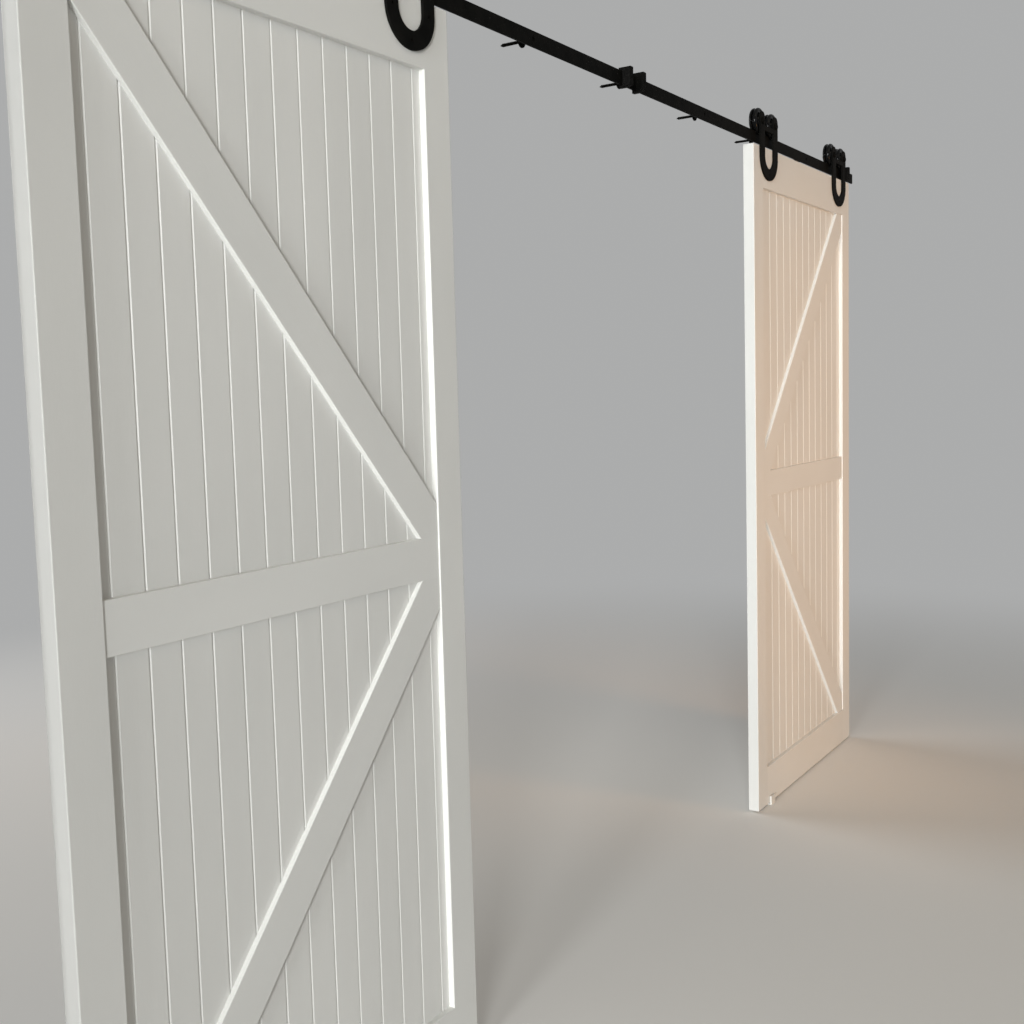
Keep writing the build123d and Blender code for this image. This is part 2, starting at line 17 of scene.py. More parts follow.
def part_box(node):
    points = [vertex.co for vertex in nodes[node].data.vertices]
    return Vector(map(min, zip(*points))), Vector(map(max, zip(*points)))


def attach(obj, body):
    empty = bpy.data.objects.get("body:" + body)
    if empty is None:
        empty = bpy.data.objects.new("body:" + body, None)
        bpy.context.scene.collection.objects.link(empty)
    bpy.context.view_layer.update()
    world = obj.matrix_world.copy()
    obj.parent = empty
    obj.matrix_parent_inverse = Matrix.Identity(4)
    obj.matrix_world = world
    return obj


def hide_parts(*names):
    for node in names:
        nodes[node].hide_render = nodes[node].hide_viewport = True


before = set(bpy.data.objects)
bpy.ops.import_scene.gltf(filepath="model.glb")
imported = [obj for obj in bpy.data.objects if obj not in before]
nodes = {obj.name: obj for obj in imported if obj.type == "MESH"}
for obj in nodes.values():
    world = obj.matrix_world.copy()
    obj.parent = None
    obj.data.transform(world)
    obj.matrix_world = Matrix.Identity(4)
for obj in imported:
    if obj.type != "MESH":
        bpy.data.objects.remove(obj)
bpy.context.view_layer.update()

# %% [markdown]
# ## The camera
#
# The picture was taken from the left, close to the left leaf, with the eye about 1.4 m above the
# floor. A camera can be placed by eye, or worked out from lines that are straight and level on the
# real doors. The second way was used, so here the camera is only set down: where it stands, how
# far it turns from looking square at the doors, how far it looks down, and how it leans.

# %% Camera
camera_place = Vector((-2.7731, -1.4464, -0.7735))
camera_turn, camera_pitch, camera_roll = 0.992, -0.091, -0.027
picture_side = 1024
focal_pixels = 1186
optical_centre = (509.7, 498.9)
sensor_width = 36

forward = Vector((
    sin(camera_turn) * cos(camera_pitch),
    cos(camera_turn) * cos(camera_pitch),
    sin(camera_pitch),
))
level_right = Vector((cos(camera_turn), -sin(camera_turn), 0))
level_down = forward.cross(level_right)
right = cos(camera_roll) * level_right - sin(camera_roll) * level_down
down = sin(camera_roll) * level_right + cos(camera_roll) * level_down

camera_data = bpy.data.cameras.new("camera")
camera_data.sensor_width = sensor_width
camera_data.lens = focal_pixels / picture_side * sensor_width
camera_data.shift_x = (picture_side / 2 - optical_centre[0]) / picture_side
camera_data.shift_y = (optical_centre[1] - picture_side / 2) / picture_side
camera = bpy.data.objects.new("camera", camera_data)
turn = Matrix((right, -down, -forward)).transposed()
camera.matrix_world = Matrix.Translation(camera_place) @ turn.to_4x4()
bpy.context.scene.collection.objects.link(camera)
bpy.context.scene.camera = camera
print("lens", round(camera_data.lens, 2), "mm")

# %% [markdown]
# ## Background and soft light
#
# What stands behind the doors and what lights them are two things. A brighter background could
# come from more light, but that would bleach the paint too. So the world has two colours, told
# apart by the kind of ray: a plain grey for what is seen directly, in a mirror or through glass,
# and a weak, slightly warm white that fills the shadows.

# %% Background and soft light
background_colour = (0.41, 0.414, 0.414, 1)
fill_colour = (1, 0.995, 0.98, 1)
fill_strength = 0.105
scene = bpy.context.scene
scene.view_settings.view_transform = "Standard"


def link(tree, start, output, end, socket):
    """Joins one node's output to another's input."""
    tree.links.new(start.outputs[output], end.inputs[socket])


def seen_directly(tree):
    """One for what the camera sees directly, in a mirror or through glass, and nought for light."""
    path = tree.nodes.new("ShaderNodeLightPath")
    total = path.outputs["Is Camera Ray"]
    for name in ("Is Glossy Ray", "Is Transmission Ray"):
        either = tree.nodes.new("ShaderNodeMath")
        either.operation = "MAXIMUM"
        tree.links.new(total, either.inputs[0])
        tree.links.new(path.outputs[name], either.inputs[1])
        total = either.outputs[0]
    return total


world = bpy.data.worlds.new("studio")
world.use_nodes = True
scene.world = world
tree = world.node_tree
tree.nodes.clear()
shown = tree.nodes.new("ShaderNodeBackground")
shown.inputs["Color"].default_value = background_colour
fill = tree.nodes.new("ShaderNodeBackground")
fill.inputs["Color"].default_value = fill_colour
fill.inputs["Strength"].default_value = fill_strength
either = tree.nodes.new("ShaderNodeMixShader")
tree.links.new(seen_directly(tree), either.inputs[0])
tree.links.new(fill.outputs[0], either.inputs[1])
tree.links.new(shown.outputs[0], either.inputs[2])
out = tree.nodes.new("ShaderNodeOutputWorld")
tree.links.new(either.outputs[0], out.inputs["Surface"])
print("background", background_colour[:3], "fill strength", fill_strength)

# %% [markdown]
# ## Lamps
#
# In the picture each edge that faces left is nearly white, and the faces have a softer light. So
# the main light comes from the left, nearly along the doors. One sun lamp could give that, but
# only from one direction. Two tall area lamps are used instead: the side window grazes the leaves
# and draws the narrow shadows, and the window further forward lights the faces. A weak ceiling
# light and a back light soften the rest, and a warm spot tints the right leaf.

# %% Lamps
door_middle = (0, 0, -1.0)
window_size = (2.2, 5.5)
window_colour = (0.98, 1, 0.99)
spot_blend = 0.4
spot_radius = 0.5


def place_lamp(data, place, aim, power, colour):
    """Stands a lamp at place, shining towards aim, where the camera doesn't see it."""
    data.energy = power
    data.color = colour
    lamp = bpy.data.objects.new(data.name, data)
    lamp.location = place
    lamp.rotation_euler = (Vector(aim) - Vector(place)).to_track_quat("-Z", "Y").to_euler()
    lamp.visible_camera = False
    scene.collection.objects.link(lamp)
    print(data.name, "at", place)


def add_area_lamp(name, place, aim, size, power, colour):
    """A soft rectangular lamp of size (width, height)."""
    data = bpy.data.lights.new(name, "AREA")
    data.shape = "RECTANGLE"
    data.size, data.size_y = size
    place_lamp(data, place, aim, power, colour)


def add_spot_lamp(name, place, aim, cone, power, colour):
    """A spot lamp with a soft edge, whose full cone is given in degrees."""
    data = bpy.data.lights.new(name, "SPOT")
    data.spot_size = radians(cone)
    data.spot_blend = spot_blend
    data.shadow_soft_size = spot_radius
    place_lamp(data, place, aim, power, colour)


add_area_lamp("window", (-13.8, -6.4, 0.4), door_middle, window_size, 1270, window_colour)
add_area_lamp("side_window", (-15.2, -2.0, 0.4), door_middle, window_size, 1020, window_colour)
add_area_lamp("ceiling_light", (-1.0, -2.6, 2.8), (0, 0, -1.2), (4, 2), 27, (1, 0.88, 0.68))
add_area_lamp("back_light", (0.4, 6.5, 1.2), (0, 0, -1.1), (4.5, 3), 165, (1, 0.99, 0.97))
add_spot_lamp("room_light", (1.2, -3.2, -0.95), (1.45, 0, -1.05), 50, 148, (1, 0.49, 0.14))

# %% [markdown]
# ## A card in the light
#
# In the picture the strong light from the left misses the left leaf's outer edge. Light linking
# could keep a lamp off that stile, but only off all of it. A photographer would stand a card
# beside the door, just out of sight, and that is done here. The card stands on its own, apart
# from the doors. It casts its shadow, but the camera and the reflections don't see it.

# %% Shade card
card_gap = 0.18
card_above = 0.1
card_front, card_back = -0.100, 0.06

leaf_low, leaf_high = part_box("left_outer_stile")
card_x = leaf_low.x - card_gap
card_foot, card_top = leaf_low.z, leaf_high.z + card_above
card_corners = [
    (card_x, card_front, card_foot), (card_x, card_back, card_foot),
    (card_x, card_back, card_top), (card_x, card_front, card_top),
]
card_mesh = bpy.data.meshes.new("shade_card")
card_mesh.from_pydata(card_corners, [], [(0, 1, 2, 3)])
shade_card = bpy.data.objects.new("shade_card", card_mesh)
scene.collection.objects.link(shade_card)
shade_card.visible_camera = False
shade_card.visible_glossy = False
print("card at", round(card_x, 3))

# %% [markdown]
# ## The floor
#
# The doors' shadow needs a floor at the height of the guides' feet. A plane of one square would
# do, but its corners reach further than its sides. So the floor is a disc, whose rings grow
# outwards and keep it round with few faces.

# %% Floor disc
floor_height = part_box("right_floor_guide")[0].z
first_ring, floor_radius = 0.5, 60
rings, spokes = 24, 96
radius = np.geomspace(first_ring, floor_radius, rings)
angle = np.linspace(0, 2 * pi, spokes, endpoint=False)
disc = np.stack([
    np.outer(radius, np.cos(angle)),
    np.outer(radius, np.sin(angle)),
    np.full((rings, spokes), floor_height),
], axis=-1).reshape(-1, 3)
inner = np.arange((rings - 1) * spokes)
beside = inner // spokes * spokes + (inner + 1) % spokes
quads = np.stack([inner, inner + spokes, beside + spokes, beside], axis=1)
floor_mesh = bpy.data.meshes.new("floor")
floor_mesh.from_pydata(disc.tolist(), [], quads.tolist() + [list(range(spokes))])
floor = bpy.data.objects.new("floor", floor_mesh)
scene.collection.objects.link(floor)
print("floor at", round(floor_height, 4))

# %% [markdown]
# ### Floor paint
#
# Near the doors the floor is matt and pale. In one colour it would meet the background in a line.
# So further out it turns into the background's colour, for the rays that are seen and not for
# those that carry light, and it has no visible end.

# %% Floor paint
floor_colour = (0.88, 0.865, 0.84, 1)
fade_start, fade_end = 2.3, 6.0
floor_paint = bpy.data.materials.new("floor_paint")
floor_paint.use_nodes = True
tree = floor_paint.node_tree
tree.nodes.clear()
coordinates = tree.nodes.new("ShaderNodeTexCoord")
distance = tree.nodes.new("ShaderNodeVectorMath")
distance.operation = "LENGTH"
link(tree, coordinates, "Object", distance, 0)
fade = tree.nodes.new("ShaderNodeMapRange")
fade.interpolation_type = "SMOOTHSTEP"
fade.inputs["From Min"].default_value = fade_start
fade.inputs["From Max"].default_value = fade_end
link(tree, distance, "Value", fade, "Value")
matt = tree.nodes.new("ShaderNodeBsdfDiffuse")
matt.inputs["Color"].default_value = floor_colour
glow = tree.nodes.new("ShaderNodeEmission")
glow.inputs["Color"].default_value = background_colour
both = tree.nodes.new("ShaderNodeMath")
both.operation = "MULTIPLY"
tree.links.new(fade.outputs[0], both.inputs[0])
tree.links.new(seen_directly(tree), both.inputs[1])
mixed = tree.nodes.new("ShaderNodeMixShader")
tree.links.new(both.outputs[0], mixed.inputs[0])
tree.links.new(matt.outputs[0], mixed.inputs[1])
tree.links.new(glow.outputs[0], mixed.inputs[2])
out = tree.nodes.new("ShaderNodeOutputMaterial")
tree.links.new(mixed.outputs[0], out.inputs["Surface"])
floor_mesh.materials.append(floor_paint)
print("floor fades from", fade_start, "to", fade_end, "m")

# %% [markdown]
# ## Finishes
#
# Every finish is a small tree of nodes: a colour that drifts a little, a sheen that drifts a
# little, and a bump at the scale of the real surface. An image could hold all that, but it would
# need unwrapping and would blur close up. Noise on the object's own coordinates doesn't. Squeezed
# along one direction it gives brush marks, so the pattern of each board can follow its own grain.

# %% Noise and its spread
even = (1, 1, 1)
noise_roughness = 0.55
noise_detail = 3.0
usual_low, usual_high = 0.3, 0.7


def add_noise(tree, source, scale, squeeze=even, turn=0.0):
    """Noise on the object's own coordinates, squeezed along its axes and turned about Y by turn."""
    mapping = tree.nodes.new("ShaderNodeMapping")
    mapping.vector_type = "TEXTURE"
    mapping.inputs["Rotation"].default_value = (0, turn, 0)
    mapping.inputs["Scale"].default_value = squeeze
    link(tree, source, "Object", mapping, "Vector")
    noise = tree.nodes.new("ShaderNodeTexNoise")
    noise.inputs["Scale"].default_value = scale
    noise.inputs["Detail"].default_value = noise_detail
    noise.inputs["Roughness"].default_value = noise_roughness
    link(tree, mapping, "Vector", noise, "Vector")
    return noise


def spread(tree, source, output, low, high):
    """Spreads a noise's usual range over low to high."""
    spread_node = tree.nodes.new("ShaderNodeMapRange")
    spread_node.inputs["From Min"].default_value = usual_low
    spread_node.inputs["From Max"].default_value = usual_high
    spread_node.inputs["To Min"].default_value = low
    spread_node.inputs["To Max"].default_value = high
    link(tree, source, output, spread_node, "Value")
    return spread_node


print("noise mostly lies between", usual_low, "and", usual_high)

# %% [markdown]
# ### One builder for all finishes
#
# Paint, powder coat, moulded nylon and plated steel differ in numbers, not in kind. One function
# that takes the numbers keeps them alike and easy to compare. Bumps are chained from the deepest
# to the finest, each one adding its slope to the one before.

# %% A finish from its numbers
micron = 1e-6
ramp_start, ramp_end = 0.32, 0.68
sheen_scale = 3.7


def add_finish(name, colours, sheen, cloud, bumps, metal=0.0, turn=0.0, ior=None):
    """A finish: two colours mixed by a cloudy noise, a sheen between two roughnesses, and bumps.

    The cloud is (scale, squeeze). Each bump is (scale, squeeze, depth in metres).
    """
    material = bpy.data.materials.new(name)
    material.use_nodes = True
    tree = material.node_tree
    surface = tree.nodes["Principled BSDF"]
    surface.inputs["Metallic"].default_value = metal
    if ior:
        surface.inputs["IOR"].default_value = ior

    source = tree.nodes.new("ShaderNodeTexCoord")
    cloud_scale, squeeze = cloud
    clouds = add_noise(tree, source, cloud_scale, squeeze, turn)
    ramp = tree.nodes.new("ShaderNodeValToRGB")
    for element, place, colour in zip(ramp.color_ramp.elements, (ramp_start, ramp_end), colours):
        element.position = place
        element.color = (*colour, 1)
    link(tree, clouds, "Fac", ramp, "Fac")
    link(tree, ramp, "Color", surface, "Base Color")

    finer = add_noise(tree, source, sheen_scale * cloud_scale, squeeze, turn)
    link(tree, spread(tree, finer, "Fac", *sheen), "Result", surface, "Roughness")

    before = None
    for scale, squeeze, depth in bumps:
        bump = tree.nodes.new("ShaderNodeBump")
        bump.inputs["Distance"].default_value = depth
        link(tree, add_noise(tree, source, scale, squeeze, turn), "Fac", bump, "Height")
        if before:
            link(tree, before, "Normal", bump, "Normal")
        before = bump
    link(tree, before, "Normal", surface, "Normal")
    return material


print("colours change over", round(ramp_end - ramp_start, 2), "of the noise")

# %% [markdown]
# ### White paint
#
# The leaves are sprayed or rolled with a satin enamel, over timber that still shows faintly as
# long, soft ripples along each board. One paint for all would run its ripples across half of the
# boards, so there are four, one for each direction: upright, level and the two slopes of the
# braces.

# %% Paint
paint_colours = ((0.745, 0.745, 0.725), (0.795, 0.793, 0.772))
satin = (0.34, 0.46)
low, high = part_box("left_upper_brace")
brace_lean = float(np.arctan2(high.x - low.x, high.z - low.z))


def add_paint(name, turn):
    """Satin paint whose faint ripples run along Z, turned about Y by turn."""
    ripples = (26, (1, 1, 14), 350 * micron)
    brush_marks = (240, (1, 1, 3), 120 * micron)
    stipple = (900, even, 60 * micron)
    return add_finish(
        name, paint_colours, satin, cloud=(3.1, (1, 1, 2.5)),
        bumps=(ripples, brush_marks, stipple), turn=turn,
    )


paints = {
    "upright": add_paint("paint_upright", 0),
    "level": add_paint("paint_level", pi / 2),
    "leaning_left": add_paint("paint_leaning_left", -brace_lean),
    "leaning_right": add_paint("paint_leaning_right", brace_lean),
}
print("braces lean", round(brace_lean, 3))

# %% [markdown]
# ### Steel, nylon, rubber and plastic
#
# The rail, stops and hangers are powder coated, which leaves a fine orange peel. The bolt heads
# have a thinner black. The wheels are moulded nylon with a soft gloss. Bearings are bright steel,
# and the sleeves, washers and nuts behind the wheels are zinc plated. A real black coat mirrors a
# pale surrounding at a low angle and turns grey. The blacks could be painted darker, but they are
# almost nought already, so their index of refraction is lowered instead.

# %% Hardware finishes
finishes = {
    "black_steel": add_finish(
        "powder_coat", ((0.0050, 0.0050, 0.0047), (0.0085, 0.0082, 0.0074)), (0.38, 0.52),
        cloud=(30, even), bumps=((620, even, 120 * micron), (2600, even, 30 * micron)), ior=1.06,
    ),
    "black_fastener": add_finish(
        "black_oxide", ((0.003, 0.003, 0.003), (0.007, 0.0065, 0.0055)), (0.30, 0.45),
        cloud=(220, even), bumps=((1500, even, 30 * micron),), ior=1.06,
    ),
    "black_wheel": add_finish(
        "moulded_nylon", ((0.002, 0.002, 0.0021), (0.004, 0.004, 0.0041)), (0.10, 0.17),
        cloud=(60, even), bumps=((420, even, 30 * micron),), ior=1.24,
    ),
    "bearing_steel": add_finish(
        "bearing_steel", ((0.50, 0.50, 0.50), (0.60, 0.60, 0.59)), (0.20, 0.32),
        cloud=(150, even), bumps=((1800, even, 10 * micron),), metal=1.0,
    ),
    "zinc_screw": add_finish(
        "zinc_plate", ((0.50, 0.50, 0.49), (0.64, 0.64, 0.61)), (0.30, 0.46),
        cloud=(300, even), bumps=((2200, even, 20 * micron),), metal=1.0,
    ),
    "black_rubber": add_finish(
        "rubber", ((0.006, 0.006, 0.006), (0.011, 0.0105, 0.010)), (0.72, 0.86),
        cloud=(160, even), bumps=((1300, even, 80 * micron),), ior=1.05,
    ),
    "white_plastic": add_finish(
        "guide_nylon", ((0.70, 0.69, 0.655), (0.76, 0.75, 0.72)), (0.34, 0.46),
        cloud=(70, even), bumps=((900, even, 40 * micron),),
    ),
}
print("finishes", len(finishes), "and paints", len(paints))

# %% [markdown]
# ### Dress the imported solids
#
# Each timber piece takes the paint that runs along it, and each other piece the finish of its
# kind. The two leaves mirror each other, so their braces swap paints. The names of the nodes say
# what they are, which is shorter than a list of all of them and can't miss a numbered one. Pieces
# that are remade further down are dressed too, so no solid is left bare.

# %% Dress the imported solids
brace_paints = {
    "left": ("leaning_left", "leaning_right"),
    "right": ("leaning_right", "leaning_left"),
}
small_parts = {
    "hanger_screws": "black_fastener", "axle_bolts": "black_fastener",
    "lag_bolts": "black_fastener", "stop_set_screws": "black_fastener",
    "wall_spacers": "black_steel", "floor_guide_screws": "zinc_screw",
    "axle_sleeves": "zinc_screw", "axle_washers": "zinc_screw", "axle_nuts": "zinc_screw",
}


def dress(name, material):
    """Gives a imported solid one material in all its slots."""
    data = nodes[name].data
    data.materials.clear()
    data.materials.append(material)


for side, (upper_paint, lower_paint) in brace_paints.items():
    for place in ("inner", "outer"):
        dress(f"{side}_{place}_stile", paints["upright"])
        dress(f"{side}_{place}_hanger", finishes["black_steel"])
    for place in ("top", "bottom", "mid"):
        dress(f"{side}_{place}_rail", paints["level"])
    for place in ("centre", "end"):
        dress(f"{side}_{place}_stop", finishes["black_steel"])
    dress(f"{side}_panel", paints["upright"])
    dress(f"{side}_upper_brace", paints[upper_paint])
    dress(f"{side}_lower_brace", paints[lower_paint])
    dress(f"{side}_floor_guide", finishes["white_plastic"])
dress("rail", finishes["black_steel"])
dress("stop_pads", finishes["black_rubber"])
for name in nodes:
    for ending, finish in small_parts.items():
        if name.endswith(ending):
            dress(name, finishes[finish])
    if "_wheel_" in name:
        dress(name, finishes["black_wheel"])
    if "_bearing_" in name:
        dress(name, finishes["bearing_steel"])
print("dressed", sum(len(o.data.materials) == 1 for o in nodes.values()), "of", len(nodes))

# %% [markdown]
# ## Turned pieces
#
# Wheels, bearings, bolts, nuts, washers and spacers are all turned about an axle or a bolt line.
# Each could be a cylinder with modifiers, but a real one has a domed head, a socket, a thread and
# eased rims. So each is one surface: a half section carried round its axis, with its radius
# changed by the angle where the section is a hexagon, a cross or a thread. The section is drawn
# with sharp corners, and every corner then gets its own radius.

# %% Round the corners of a section
mm = 0.001


def rounded(points, radii, steps=5):
    """A half section with its corners rounded, as rows of (distance, radius).

    At a corner an arc touches both sides. Its centre is on the corner's bisector, and its tangent
    points are radius times the cotangent of half the corner's angle away from the corner.
    """
    points = np.asarray(points, float)
    rows = []
    for before, corner, after, radius in zip(
        np.roll(points, 1, axis=0), points, np.roll(points, -1, axis=0), radii
    ):
        if radius == 0:
            rows.append(corner[None])
            continue
        back = (before - corner) / np.linalg.norm(before - corner)
        ahead = (after - corner) / np.linalg.norm(after - corner)
        half = np.arccos(np.clip(back @ ahead, -1, 1)) / 2
        reach = radius / np.tan(half)
        centre = corner + (back + ahead) / np.linalg.norm(back + ahead) * radius / np.sin(half)
        start, end = corner + back * reach - centre, corner + ahead * reach - centre
        share = np.linspace(0, 1, steps)[:, None]
        sweep = pi - 2 * half
        arc = (np.sin((1 - share) * sweep) * start + np.sin(share * sweep) * end) / np.sin(sweep)
        rows.append(centre + arc)
    return np.concatenate(rows)


eased_square = rounded([(0, 0), (0, 10), (10, 10), (10, 0)], [2, 2, 2, 2])
print("a square with eased corners has", len(eased_square), "points")

# %% [markdown]
# ### Hexagons, crosses and threads
#
# A socket or a nut could be cut with a Boolean, which leaves ragged faces. Here the angle alone
# says how far each row may reach. A thread could be a helix swept round a rod, but lowering the
# radius by a wave that turns with the angle gives the same ridges in one closed surface. Blender's
# Screw modifier turns a profile too, but can't change its radius with the angle.

# %% How far a row reaches at each angle
least_sine = 1e-6


def limit_of(shape, angle):
    """How far a shaped row reaches at each angle.

    A hexagon's side is half the width across its flats over the cosine of the angle from the
    middle of that side. A cross has arms of one length and half width, in four directions.
    """
    if shape[0] == "hexagon":
        from_side = (angle + pi / 6) % (pi / 3) - pi / 6
        return shape[1] / np.cos(from_side)
    from_arm = np.abs((angle + pi / 4) % (pi / 2) - pi / 4)
    across_arm = np.maximum(np.sin(from_arm), least_sine)
    return np.minimum(shape[1] / np.cos(from_arm), shape[2] / across_arm)


def radii_of(rows, angle):
    """The radius of each row at each angle.

    A hexagon or a cross limits the row's own radius. A thread lowers it by its depth times a wave,
    whose phase is distance over pitch less angle over a full turn.
    """
    radii = np.repeat(np.array([row[1] for row in rows], float)[:, None], len(angle), axis=1)
    for number, row in enumerate(rows):
        if len(row) < 3:
            continue
        distance, _, shape = row
        if shape[0] == "thread":
            _, pitch, depth = shape
            wave = 0.5 - 0.5 * np.cos(2 * pi * (distance / pitch - angle / (2 * pi)))
            radii[number] -= depth * wave
        else:
            radii[number] = np.minimum(radii[number], limit_of(shape, angle))
    return radii


corner_reach = float(limit_of(("hexagon", 5), pi / 6))
print("a hexagon 10 wide reaches", round(corner_reach, 2), "at a corner")

# %% [markdown]
# ### From a section to a mesh
#
# The rows and the angles make a grid of points, and each cell of the grid is a face. A ring such
# as a washer joins its last row to its first. A bolt ends in a point on the axis instead. Nine
# bolts that are alike are one mesh, made of the same grid at nine places, and the sign of the
# grid's volume tells whether its faces point outwards.

# %% The grid and its faces


def turned_mesh(rows, places, axis=(0, 1, 0), columns=48, closed=False):
    """Vertices, quads and triangles of a section carried round axis at each place.

    A row is (distance, radius) or (distance, radius, shape). A point is the place, plus distance
    times the axis, plus the radius in the direction of the angle. A closed section joins its last
    row to its first, and an open one ends in a point on the axis at each end.
    """
    along = np.asarray(axis, float)
    across = np.array((1.0, 0.0, 0.0))
    up = np.cross(along, across)
    angle = np.arange(columns) * 2 * pi / columns
    ring = np.cos(angle)[:, None] * across + np.sin(angle)[:, None] * up
    distance = np.array([row[0] for row in rows], float)
    body = distance[:, None, None] * along + radii_of(rows, angle)[:, :, None] * ring
    points = body.reshape(-1, 3)

    count = len(rows)
    starts = np.arange(count if closed else count - 1)
    row, column = np.meshgrid(starts, np.arange(columns), indexing="ij")
    this_ring, next_ring = row * columns, (row + 1) % count * columns
    beside = (column + 1) % columns
    quads = np.stack([
        this_ring + column, this_ring + beside, next_ring + beside, next_ring + column,
    ], axis=-1).reshape(-1, 4)

    triangles = np.zeros((0, 3), int)
    if not closed:
        first, last = np.arange(columns), np.arange(columns) + (count - 1) * columns
        ahead = (first + 1) % columns
        near_pole, far_pole = np.full(columns, len(points)), np.full(columns, len(points) + 1)
        triangles = np.concatenate([
            np.stack([near_pole, first[ahead], first], axis=1),
            np.stack([far_pole, last, last[ahead]], axis=1),
        ])
        points = np.concatenate([points, [distance[0] * along, distance[-1] * along]])

    corners = points[np.concatenate([quads[:, :3], quads[:, [0, 2, 3]], triangles])]
    volume = np.einsum("ij,ij->i", corners[:, 0], np.cross(corners[:, 1], corners[:, 2])).sum()
    if volume < 0:
        quads, triangles = quads[:, ::-1], triangles[:, ::-1]
    shift = np.arange(len(places))[:, None, None] * len(points)
    vertices = (np.asarray(places, float)[:, None] + points).reshape(-1, 3)
    return vertices, (quads + shift).reshape(-1, 4), (triangles + shift).reshape(-1, 3)


trial = turned_mesh([(0, 5), (0, 10), (2, 10), (2, 5)], [(0, 0, 0)], columns=24, closed=True)
print("a plain washer has", len(trial[0]), "vertices and", len(trial[1]), "faces")

# %% [markdown]
# ### Places, and a piece in the frame
#
# Where the bolts sit isn't written down twice. Bolts that are alike stand apart along X, so their
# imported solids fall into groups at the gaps, and the middle of each group is a place. The new
# piece then rides on the body of the solids that it replaces, and takes their slot.

# %% Places and pieces
least_gap = 4 * mm
sharp_angle = 0.6  # radians


def places_of(node):
    """Middles of a node's separate solids, which stand apart along X."""
    data = nodes[node].data
    points = np.empty(len(data.vertices) * 3)
    data.vertices.foreach_get("co", points)
    points = points.reshape(-1, 3)
    points = points[np.argsort(points[:, 0])]
    cuts = np.nonzero(np.diff(points[:, 0]) > least_gap)[0] + 1
    groups = np.split(points, cuts)
    return np.array([(group.min(axis=0) + group.max(axis=0)) / 2 for group in groups])


def on_plane(middles, depth):
    """The same places along X and Z, at one depth along Y."""
    return np.stack([middles[:, 0], np.full(len(middles), depth), middles[:, 2]], axis=1)


def add_turned(name, turned, body, slot, hidden):
    """Makes one piece of a turned mesh, and sets it in the frame in place of the hidden node."""
    vertices, quads, triangles = turned
    mesh = bpy.data.meshes.new(name)
    mesh.from_pydata(vertices.tolist(), [], quads.tolist() + triangles.tolist())
    mesh.shade_smooth()
    mesh.set_sharp_from_angle(angle=sharp_angle)
    mesh.materials.append(finishes[slot])
    piece = bpy.data.objects.new(name, mesh)
    scene.collection.objects.link(piece)
    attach(piece, body)
    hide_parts(hidden)
    print(name, len(mesh.vertices), "vertices")


bolt_spots = on_plane(places_of("lag_bolts"), 0)
print("lag bolts at", bolt_spots[:, 0].round(3))

# %% [markdown]
# ### Profiles and threads
#
# A bolt's profile is measured from the face that its head sits in, as a machinist would, in pairs
# of a distance and a radius in millimetres. In a recess the radius is left wide, because the
# hexagon or the cross limits it. A thread needs many rows, so they are worked out: it grows and
# fades over one pitch, where a real one is cut or rolled out of the shank.

# %% Profiles and threads
recess_open = 9  # millimetres, wider than every recess


def thread_rows(start, end, radius, pitch, depth, per_turn=8):
    """Rows of a thread from start to end, closely spaced, that run out smoothly at both ends."""
    distance = np.linspace(start, end, max(3, round((end - start) / pitch * per_turn)))
    fade = np.clip(np.minimum(distance - start, end - distance) / pitch, 0, 1)
    waves = [("thread", pitch, depth * share) for share in fade]
    return [(along, radius, wave) for along, wave in zip(distance, waves)]


def rows_from(face, profile):
    """Rows in metres along the axis, from a profile in millimetres that starts at a face."""
    return [(face + away * mm, radius * mm, *shape) for away, radius, *shape in profile]


trial_thread = thread_rows(0, 10, 3, 1.5, 0.8)
print("a thread of", round(10 / 1.5, 1), "turns has", len(trial_thread), "rows")

# %% [markdown]
# ### Lag bolts
#
# Nine countersunk lag bolts hold the rail. The neck of each is plain inside its spacer. Beyond
# the plane that the set is fixed to it has a coarse wood thread and a point, which are hidden
# once it is up. Its profile runs from the bottom of the hexagon socket over the head to the tip.

# %% Lag bolts
rail_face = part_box("rail")[0].y
bolt_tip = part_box("lag_bolts")[1].y
lag_socket, lag_socket_rim = ("hexagon", 4.0 * mm), ("hexagon", 4.3 * mm)
lag_thread = {"radius": 4.0 * mm, "pitch": 3.6 * mm, "depth": 1.05 * mm}
lag_rows = [
    *rows_from(rail_face, [
        (2.6, 3.0), (2.45, recess_open, lag_socket), (0.95, recess_open, lag_socket),
        (0.62, recess_open, lag_socket_rim), (0.6, 5.6), (0.62, 7.15), (0.75, 7.3),
        (4.75, 3.15), (5.0, 3.12),
    ]),
    *rows_from(0, [(-1.0, 3.12)]),
    *thread_rows(0.2 * mm, 47.9 * mm, **lag_thread),
    *rows_from(bolt_tip, [(-5.5, 3.0), (-3.0, 1.8), (-1.0, 0.75), (-0.1, 0.2)]),
]
add_turned(
    "lag_bolt_set", turned_mesh(lag_rows, bolt_spots, columns=24),
    "fixed_track", "black_fastener", "lag_bolts",
)

# %% [markdown]
# ### Spacers
#
# A spacer on each bolt holds the rail off its mounting, so that the wheels' flanges can pass
# behind it. A plain tube would do that, but this one has a wide foot with an eased rim, which
# shows under the rail.

# %% Spacers
rail_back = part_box("rail")[1].y
spacer_bore, spacer_neck, spacer_foot = 4.5 * mm, 7.5 * mm, 14 * mm
foot_top = -4 * mm
spacer_rows = rounded(
    [
        (rail_back, spacer_bore), (rail_back, spacer_neck), (foot_top, spacer_neck),
        (foot_top, spacer_foot), (0, spacer_foot), (0, spacer_bore),
    ],
    [0, 0.4 * mm, 1.6 * mm, 1.0 * mm, 0.5 * mm, 0],
)
add_turned(
    "spacer_set", turned_mesh(spacer_rows, bolt_spots, columns=48, closed=True),
    "fixed_track", "black_steel", "wall_spacers",
)

